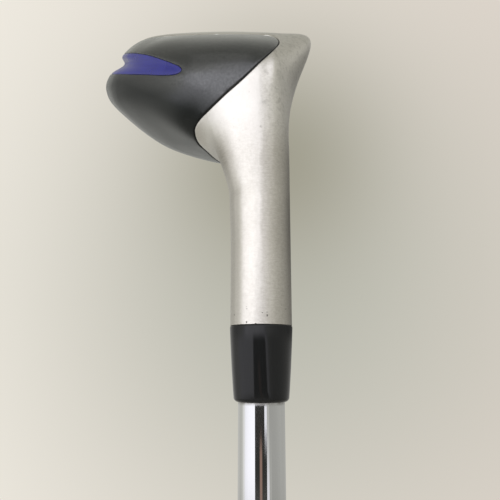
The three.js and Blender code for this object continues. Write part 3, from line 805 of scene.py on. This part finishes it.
def dot(vector, heading):
    """How far a vector reaches in a direction."""
    return add("VectorMath", {0: vector, 1: heading}, operation="DOT_PRODUCT").outputs["Value"]


def parts_of(vector):
    """A vector's X, Y and Z."""
    return add("SeparateXYZ", {"Vector": vector}).outputs


def new_group(name, values, output):
    """An empty group with a vector, named values and one named output."""
    tree = bpy.data.node_groups.new(name, "ShaderNodeTree")
    tree.interface.new_socket("Vector", in_out="INPUT", socket_type="NodeSocketVector")
    for label, value in values.items():
        socket = tree.interface.new_socket(label, in_out="INPUT", socket_type="NodeSocketFloat")
        socket.default_value = value
    tree.interface.new_socket(output, in_out="OUTPUT", socket_type="NodeSocketFloat")
    print("group:", name)
    given = tree.nodes.new("NodeGroupInput").outputs
    return tree, given, tree.nodes.new("NodeGroupOutput").inputs[output]


# %% Drawn lines
lines, given, out = new_group("drawn lines", {"Fineness": 6000, "Length": 40}, "Tone")
fine, long = given["Fineness"], maths("DIVIDE", given["Fineness"], given["Length"])
stretch = add("CombineXYZ", {"X": fine, "Y": fine, "Z": long}).outputs[0]
drawn = add("VectorMath", {0: given["Vector"], 1: stretch}, operation="MULTIPLY")
lines.links.new(noise(drawn.outputs[0], 1, 4, 0.6), out)

# %% Handling marks
# A mark is the middle of a cell, for a share of the cells. A little noise bends its outline.
MARK_BEND = 0.0006
marks, given, out = new_group("handling marks", {"Density": 900, "Reach": 0.2, "Share": 0.2}, "Mask")
swing = times(maths("SUBTRACT", noise(given["Vector"], 2500, 2), 0.5), MARK_BEND)
moved = add("VectorMath", {0: given["Vector"], 1: swing}, operation="ADD").outputs[0]
cells = add("TexVoronoi", {"Vector": moved, "Scale": given["Density"]}).outputs
pick = add("SeparateColor", {"Color": cells["Color"]}).outputs
inside = maths("SUBTRACT", times(given["Reach"], pick[1]), cells["Distance"])
soft = maths("MULTIPLY", inside, 12, clamp=True)
marks.links.new(times(soft, maths("LESS_THAN", pick[0], given["Share"])), out)

# %% Slow clouds of tone
clouds, given, out = new_group("slow clouds", {"Size": 60, "Low": 0.35, "High": 0.65}, "Value")
drift = noise(given["Vector"], given["Size"], 3)
clouds.links.new(climb(drift, given["Low"], given["High"]), out)

# %% [markdown]
# ## Finishes
#
# Raw steel and chrome take their colour from what they reflect, so they are metallic with a plain
# base colour, and their character is in the roughness: broad and streaky on the steel, nearly none
# on the chrome. Paint, plastic and rubber are not metallic, and show a soft reflection over a dark
# ground. Every finish gets fine bumps, because a perfectly even surface looks like a drawing.


# %% Starting a material
def new_material(name, **constants):
    """A material with its shader and its object coordinates. Constants go to the shader's inputs."""
    material = bpy.data.materials.new(name)
    material.use_nodes = True
    shader = material.node_tree.nodes["Principled BSDF"]
    for key, value in constants.items():
        shader.inputs[key.replace("_", " ")].default_value = value
    return material, shader, add("TexCoord", {}, shader.id_data).outputs["Object"]


def use(group, place, **values):
    """Places a shared effect in a material with this material's own values."""
    return add("Group", {"Vector": place, **values}, node_tree=group).outputs[0]


def feed(shader, name, output):
    """Links an output to an input of the shader."""
    shader.id_data.links.new(output, shader.inputs[name])


def bumps(shader, height, strength, distance, after=None):
    """Turns a height into a change of the shader's normal."""
    before = {"Normal": after} if after else {}
    bump = add("Bump", {"Height": height, "Strength": strength, "Distance": distance, **before})
    feed(shader, "Normal", bump.outputs[0])
    return bump.outputs[0]


# %% Satin steel of the casting
# Heights along the club, in metres, between which a painted shade, a painted highlight or the pitting
# begins or ends
SIDE_SHADE_FROM, SIDE_SHADE_TO = (0.943, 0.952), (0.975, 0.967)
HOLLOW_SHADE_FROM, HOLLOW_SHADE_TO = (0.962, 0.967), (0.974, 0.969)
HIGHLIGHT_FROM, PITTED_TO = (0.969, 0.977), (0.9375, 0.934)
# The same toward the target, and toward the toe
SHADE_SIDE_FROM, HOLLOW_SHADE_SIDE, NECK_TO = (-0.0004, 0.0004), (-0.0055, -0.009), (0.045, 0.028)
TARNISH_AND_SHADE = (0.36, 0.335, 0.285)

steel, shader, place = new_material("satin_steel", Metallic=1)
grain = use(lines, place, Fineness=5200, Length=14)
turned = use(lines, mapped(place, Scale=(0.1, 0.1, 1.2)), Fineness=6000, Length=1)
mottle = climb(noise(mapped(place, Scale=(0.6, 0.6, 1.1)), 2300, 7, 0.8), 0.4, 0.62)
side, toeward, height = parts_of(place)
side = maths("ADD", side, spread(use(clouds, place, Size=160), -0.0003, 0.0003))

# The neck's side away from the crown is painted darker as shade, and so is the hollow under the
# crown's corner. The flat of the heel is painted lighter as a highlight, and the steel next to the
# ferrule is pitted.
shade_side = times(climb(side, *SHADE_SIDE_FROM), climb(toeward, *NECK_TO))
side_shade = times(shade_side, climb(height, *SIDE_SHADE_TO), spread(climb(height, *SIDE_SHADE_FROM), 0.2, 1))
# Painted shade in the hollow under the crown's corner
hollow_shade = times(climb(side, *HOLLOW_SHADE_SIDE), climb(height, *HOLLOW_SHADE_FROM), climb(height, *HOLLOW_SHADE_TO))
# Painted shade on that side and in the hollow, in a brown tone broken by turning marks
painted_shade = times(maths("MAXIMUM", side_shade, times(hollow_shade, 2.3)), spread(turned, 0.05, 0.5))
# Painted highlight: the flat of the heel is painted lighter
painted_highlight = climb(height, *HIGHLIGHT_FROM)
# Real tarnish mottle and turning rings, painted heavier on the shaded side as painted shade and lighter
# under the painted highlight
mottle_and_shade = times(mottle, maths("SUBTRACT", spread(shade_side, 0.22, 0.45), times(painted_highlight, 0.15)))
rings_and_shade = times(turned, maths("SUBTRACT", spread(shade_side, 0.2, 0.36), times(painted_highlight, 0.2)))
# Stains, laid heavier where the painted highlight meets the shaded side, which adds painted shade there
stain_and_shade = use(clouds, place, Size=850, Low=0.52, High=0.72)
stain_and_shade = times(stain_and_shade, spread(times(painted_highlight, shade_side), 0.03, 0.28))
pits = times(use(marks, place, Density=1300, Reach=0.34, Share=0.4), climb(height, *PITTED_TO))
ding = use(marks, place, Density=420, Reach=0.16, Share=0.12)
fleck = use(marks, place, Density=1500, Reach=0.25, Share=0.3)
ground = blend(spread(grain, 0.2, 0.8), (0.53, 0.514, 0.468), (0.66, 0.642, 0.59))
# The light tone is a painted highlight; the tarnish, stain and brown tones also carry painted shade
feed(shader, "Base Color", layered(ground, [
    (times(painted_highlight, 0.3), (0.8, 0.785, 0.74)), (mottle_and_shade, TARNISH_AND_SHADE), (rings_and_shade, TARNISH_AND_SHADE),
    (stain_and_shade, (0.2, 0.19, 0.165)), (painted_shade, (0.27, 0.25, 0.21)), (times(fleck, 0.3), (0.36, 0.34, 0.3)),
    (times(ding, 0.5), (0.26, 0.245, 0.22)), (times(pits, 0.9), (0.04, 0.038, 0.035)),
]))
cloud = use(clouds, place, Size=90)
feed(shader, "Roughness", maths("ADD", spread(cloud, 0.32, 0.38), times(mottle, 0.08)))
streaked = bumps(shader, maths("ADD", grain, times(turned, 2.5)), 0.12, 0.00003)
bumps(shader, maths("SUBTRACT", times(mottle, 0.5), ding), 0.25, 0.00005, after=streaked)

# %% Milled steel of the face insert
face, shader, place = new_material("milled_steel", Metallic=1)
mill = use(lines, mapped(place, Rotation=(LIE, 0, 0)), Fineness=3600, Length=60)
feed(shader, "Base Color", blend(mill, (0.42, 0.41, 0.39), (0.6, 0.59, 0.56)))
feed(shader, "Roughness", spread(use(clouds, place, Size=120), 0.36, 0.48))
bumps(shader, mill, 0.25, 0.00005)

# %% Graphite paint of the crown
# The skirt is handled and wiped more than the crown above it, so its lacquer is kept bright there,
# under a little dust. The height of the skirt is measured in metres across the head.
SKIRT_TILT = (-0.3, 0.5, -0.866)
SKIRT_AT = -0.866 * CLUB_LENGTH * MM
paint, shader, place = new_material(
    "graphite_paint", Coat_Roughness=0.24, Coat_IOR=1.7, Sheen_Weight=0.22, Sheen_Roughness=0.3,
    Sheen_Tint=(0.93, 1, 0.93, 1), Specular_IOR_Level=0.24, Specular_Tint=(0.93, 1, 0.95, 1))
flake = use(marks, place, Density=4200, Reach=0.4, Share=0.35)
cloud = use(clouds, place, Size=70)
scuff = use(marks, place, Density=260, Reach=0.12, Share=0.1)
ground = blend(cloud, (0.004, 0.005, 0.005), (0.007, 0.008, 0.008))
feed(shader, "Base Color", layered(ground, [
    (times(flake, 0.7), (0.035, 0.038, 0.042)), (times(scuff, 0.6), (0.11, 0.11, 0.105))]))
feed(shader, "Roughness", spread(cloud, 0.2, 0.27))
polished = climb(dot(place, SKIRT_TILT), SKIRT_AT + 0.024, SKIRT_AT + 0.018)
dust = climb(noise(place, 2600, 6, 0.7), 0.38, 0.62)
feed(shader, "Coat Weight", times(polished, spread(dust, 1, 0.58)))
bumps(shader, flake, 0.06, 0.00003)

# %% Blue of the cove
blue, shader, place = new_material("cove_blue_paint", Sheen_Weight=0.2, Sheen_Roughness=0.3)
cloud = use(clouds, place, Size=80)
speck = use(marks, place, Density=2600, Reach=0.3, Share=0.2)
ground = blend(cloud, (0.016, 0.018, 0.2), (0.022, 0.025, 0.25))
feed(shader, "Base Color", blend(times(speck, 0.25), ground, (0.2, 0.2, 0.5)))
feed(shader, "Roughness", spread(cloud, 0.26, 0.36))
bumps(shader, speck, 0.05, 0.00003)

# %% Black plastic of the ferrule
ferrule, shader, place = new_material("ferrule_plastic", Specular_IOR_Level=0.22)
hair = use(lines, place, Fineness=7000, Length=30)
feed(shader, "Roughness", spread(use(clouds, place, Size=150), 0.05, 0.1))
feed(shader, "Base Color", blend(hair, (0.009, 0.0095, 0.0095), (0.014, 0.0145, 0.0145)))
bumps(shader, hair, 0.04, 0.00003)

# %% Chrome of the shaft
# Grime gathers just below the ferrule
GRIME_REACH, GRIME_FULL = 0.7, 0.05
chrome, shader, place = new_material("shaft_chrome_plate", Metallic=1)
hair = use(lines, place, Fineness=5000, Length=80)
height = parts_of(place)["Z"]
near_ferrule = climb(height, (FERRULE_LOW - GRIME_REACH) * MM, (FERRULE_LOW - GRIME_FULL) * MM)
grime = times(near_ferrule, spread(use(clouds, place, Size=700), 0.35, 0.9))
ground = blend(hair, (0.53, 0.535, 0.53), (0.57, 0.575, 0.57))
feed(shader, "Base Color", blend(grime, ground, (0.2, 0.19, 0.17)))
cloud = use(clouds, place, Size=120)
feed(shader, "Roughness", maths("ADD", spread(cloud, 0.05, 0.1), times(grime, 0.4)))
bumps(shader, hair, 0.02, 0.00003)


# %% Adhesive, epoxy, tape, foil and brass
def one_effect(name, effect, sizes, bump, tones=None, roughs=None, **constants):
    """A finish with one effect, which changes its height, and its tone or its roughness."""
    material, shader, place = new_material(name, **constants)
    mask = use(effect, place, **sizes)
    if tones:
        feed(shader, "Base Color", blend(mask, *tones))
    if roughs:
        feed(shader, "Roughness", spread(mask, *roughs))
    bumps(shader, mask, *bump)
    return material


bond = one_effect("dark_adhesive", clouds, {"Size": 300}, (0.2, 0.0001),
                  roughs=(0.4, 0.65), Base_Color=(0.008, 0.008, 0.009, 1))
epoxy = one_effect("cured_epoxy", clouds, {"Size": 400}, (0.2, 0.0001),
                   tones=((0.22, 0.21, 0.17), (0.3, 0.29, 0.24)), Roughness=0.45)
tape = one_effect("paper_tape", lines, {"Fineness": 2500, "Length": 5}, (0.2, 0.0001),
                  tones=((0.52, 0.42, 0.25), (0.66, 0.55, 0.34)), Roughness=0.85)
foil = one_effect("band_foil_silver", lines, {"Fineness": 3000, "Length": 10}, (0.05, 0.00005),
                  roughs=(0.28, 0.45), Base_Color=(0.46, 0.46, 0.47, 1), Metallic=0.8)
brass = one_effect("plug_brass_turned", clouds, {"Size": 500}, (0.05, 0.00005),
                   roughs=(0.28, 0.42), Base_Color=(0.45, 0.25, 0.07, 1), Metallic=1)

# %% Moulded rubber
PAD_COLUMNS, PAD_HEIGHT = 12, 0.008
PADS_FROM, PADS_TO = (0.03, 0.034), (0.256, 0.252)


def rubber_material(name, colour, patterned):
    """Black rubber with a fine grain, and raised pads between crossing grooves where it is held."""
    material, shader, place = new_material(name)
    worn = use(clouds, place, Size=40)
    lighter = tuple(value * 1.7 for value in colour)
    feed(shader, "Base Color", blend(times(worn, 0.6), colour, lighter))
    feed(shader, "Roughness", spread(worn, 0.62, 0.8))
    fine = bumps(shader, noise(place, 3500, 3), 0.25, 0.0001)
    if patterned:
        x, y, z = parts_of(place)
        turn = times(maths("ARCTAN2", y, x), PAD_COLUMNS)
        climbing = times(z, math.tau / PAD_HEIGHT)
        one, other = (maths("ABSOLUTE", maths("SINE", maths(operation, turn, climbing)))
                      for operation in ("ADD", "SUBTRACT"))
        raised = climb(times(one, other), 0.08, 0.3)
        raised = times(raised, climb(z, *PADS_FROM), climb(z, *PADS_TO))
        bumps(shader, raised, 0.9, 0.0006, after=fine)
    return material


rubber = rubber_material("grip_rubber_moulded", (0.012, 0.012, 0.013), patterned=True)
cap = rubber_material("cap_rubber_moulded", (0.018, 0.018, 0.02), patterned=False)

# %% [markdown]
# ## Giving each piece its finish
#
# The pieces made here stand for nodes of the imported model, which get the same finish. The nodes that
# no eye reaches, such as the glue, the tape and the plug in the shaft's tip, stay as they are and
# only get a material.

# %% Assign the finishes
FINISHES = [
    (steel, "casting", "head_body"), (face, "face_insert", "face_plate"),
    (paint, "crown", "crown_shell"), (bond, "seam_line", "crown_bond"),
    (blue, "cove_strip", "cove_inlay"), (ferrule, "ferrule_sleeve", "ferrule"),
    (chrome, "stepped_shaft", "shaft"), (foil, "foil_band", "shaft_band"),
    (rubber, "rubber_grip", "grip"), (cap, "grip_cap", "butt_cap"),
    (epoxy, "hosel_epoxy"), (brass, "tip_plug"), (tape, "grip_tape"),
]
for finish, *names in FINISHES:
    for name in names:
        mesh = bpy.data.objects[name].data
        mesh.materials.clear()
        mesh.materials.append(finish)
print(len(FINISHES), "finishes given")

# %% [markdown]
# ## Floor and light
#
# The club stands on a pale floor in a plain pale room, which gives nearly all the light, with one
# weak soft light to the left behind the camera. Polished metal shows the whole room, so the walls
# have the tones that the photograph's reflections need: bright on the left, greyer on the right, dark
# where somebody holds the camera and brightest above that. What the camera sees directly is a pale
# wall with a soft shade behind the head.

# %% Floor
FLOOR_RADIUS = 2.6
floor_bm = bmesh.new()
bmesh.ops.create_circle(floor_bm, cap_ends=True, segments=96, radius=FLOOR_RADIUS)
floor = in_scene("floor", floor_bm)
floor_finish, shader, place = new_material("floor_paint", Roughness=0.7)
cloud = use(clouds, place, Size=3)
feed(shader, "Base Color", blend(cloud, (0.70, 0.68, 0.64), (0.74, 0.72, 0.68)))
floor.data.materials.append(floor_finish)
print("floor", 2 * FLOOR_RADIUS, "m wide")

# %% Light
HEAD_MIDDLE = Vector((0, 0.02, 0.96))
LIGHT_PLACE = Vector((-0.8, -1, 2.1))
key = bpy.data.lights.new("key", "AREA")
key.shape, key.size, key.energy, key.color = "SQUARE", 1.2, 1.5, (1, 0.985, 0.96)
light = bpy.data.objects.new("key", key)
light.location = LIGHT_PLACE
light.rotation_euler = (HEAD_MIDDLE - LIGHT_PLACE).to_track_quat("-Z", "Y").to_euler()
light.visible_camera = False
scene.collection.objects.link(light)
print("light", key.size, "m wide")

# %% The room's directions
room = bpy.data.worlds.new("room")
scene.world = room
room.use_nodes = True
tree = room.node_tree
tree.nodes.clear()
heading = add("TexCoord", {}, tree).outputs["Generated"]
rightward, ahead, upward = parts_of(heading)
turn = maths("DEGREES", maths("ARCTAN2", rightward, times(ahead, -1)))
height = maths("DEGREES", maths("ARCSINE", upward))
LEAN = 1.13
leaning = maths("ADD", turn, times(height, LEAN))


def rise(low, high):
    """A mask that climbs from 0 to 1 between two heights above the horizon, in degrees."""
    ends = {"From Min": math.sin(math.radians(low)), "From Max": math.sin(math.radians(high))}
    return add("MapRange", {"Value": upward, **ends}, interpolation_type="SMOOTHSTEP").outputs[0]


# %% Walls that the club reflects
# Tones brighter than this are daylight, and a little blue
DAYLIGHT, BLUE_OF_DAY, BLUE_OF_WALLS = 1.25, 1.06, 0.94


def around_room(degrees, tones):
    """The walls' tone, from (degrees to the right of the camera's back, tone) pairs."""
    share = maths("ADD", maths("DIVIDE", degrees, 360), 0.5)
    ramp = add("ValToRGB", {"Fac": share})
    stops = ramp.color_ramp.elements
    while len(stops) < len(tones):
        stops.new(0.5)
    for stop, (at, tone) in zip(stops, tones):
        stop.position = at / 360 + 0.5
        blueness = BLUE_OF_DAY if tone > DAYLIGHT else BLUE_OF_WALLS
        stop.color = (tone, tone * 0.99, tone * blueness, 1)
    return ramp.outputs[0]


left_walls = around_room(turn, [
    (-180, 0.5), (-150, 0.75), (-130, 0.75), (-114, 0.74), (-100, 1.1), (-85, 1.5), (-72, 1.65),
    (-60, 1.7), (-32, 1.75), (-29.5, 0.05),
])
right_walls = around_room(leaning, [
    (9.5, 0.05), (11, 1.5), (15, 1.35), (22, 0.75), (35, 0.56), (60, 0.58), (90, 0.64),
    (130, 0.6), (180, 0.4),
])
high_walls = around_room(turn, [
    (-180, 0.4), (-150, 0.6), (-130, 0.62), (-114, 0.55), (-102, 0.66), (-90, 0.95), (-76, 1.25),
    (-66, 1.65), (-57, 2.6), (-12, 2.45), (-5, 2.2), (5, 2.1), (9, 1.8), (12, 1.35), (25, 1.15),
    (35, 0.95), (50, 0.75), (70, 0.62), (90, 0.5), (115, 0.24), (150, 0.12), (180, 0.28),
])
top_walls = around_room(turn, [
    (-180, 0.4), (-120, 0.45), (-100, 0.55), (-74, 0.78), (-45, 1), (-20, 1.5), (5, 1.9), (20, 1.6),
    (60, 1.1), (100, 0.7), (140, 0.55), (180, 0.4),
])

# A narrow warm strip, such as a sleeve, stands in the dark between the two sides
SLEEVE_TURN, SLEEVE_EDGE, SLEEVE_COLOUR = 18, (5, 3.8), (0.42, 0.27, 0.22)
sleeve = climb(maths("ABSOLUTE", maths("ADD", leaning, SLEEVE_TURN)), *SLEEVE_EDGE)
right_walls = blend(times(sleeve, rise(-5.5, -8)), right_walls, SLEEVE_COLOUR)
RIGHT_FROM = -24
walls = blend(maths("GREATER_THAN", turn, RIGHT_FROM), left_walls, right_walls)
walls = blend(rise(-3, 4), walls, high_walls)
walls = blend(rise(19, 26), walls, top_walls)
ceiling = blend(climb(rightward, -0.15, -0.6), (0.54, 0.535, 0.49), (0.34, 0.335, 0.3))
walls = blend(rise(31, 43), walls, ceiling)
walls = blend(rise(-10, -26), walls, (0.4, 0.39, 0.36))
lit = add("Background", {"Color": walls}).outputs[0]


# %% Wall that the camera sees
def shade_lobe(right, up, tightness):
    """A mask that is 1 in one direction, in degrees from straight ahead, and falls off round it."""
    right, up = math.radians(right), math.radians(up)
    middle = (math.sin(right) * math.cos(up), math.cos(right) * math.cos(up), math.sin(up))
    return maths("POWER", maths("MAXIMUM", dot(heading, middle), 0), tightness)


# Painted light on the wall seen directly: lighter on the left and darker to the right, and two lobes
# that paint a soft shadow behind the head
wall = blend(climb(rightward, -0.4, 0.4), (0.905, 0.86, 0.782), (0.768, 0.696, 0.63))
wall = blend(shade_lobe(4, 7.7, 8), wall, (0.511, 0.509, 0.443))
wall = blend(shade_lobe(2.6, 21.5, 51), wall, (0.357, 0.344, 0.274))
seen = add("Background", {"Color": wall}).outputs[0]
direct = add("LightPath", {}, tree).outputs["Is Camera Ray"]
add("OutputWorld", {"Surface": add("MixShader", {0: direct, 1: lit, 2: seen}).outputs[0]})
scene.view_settings.view_transform = "Standard"
print(len(tree.nodes), "nodes in the room")
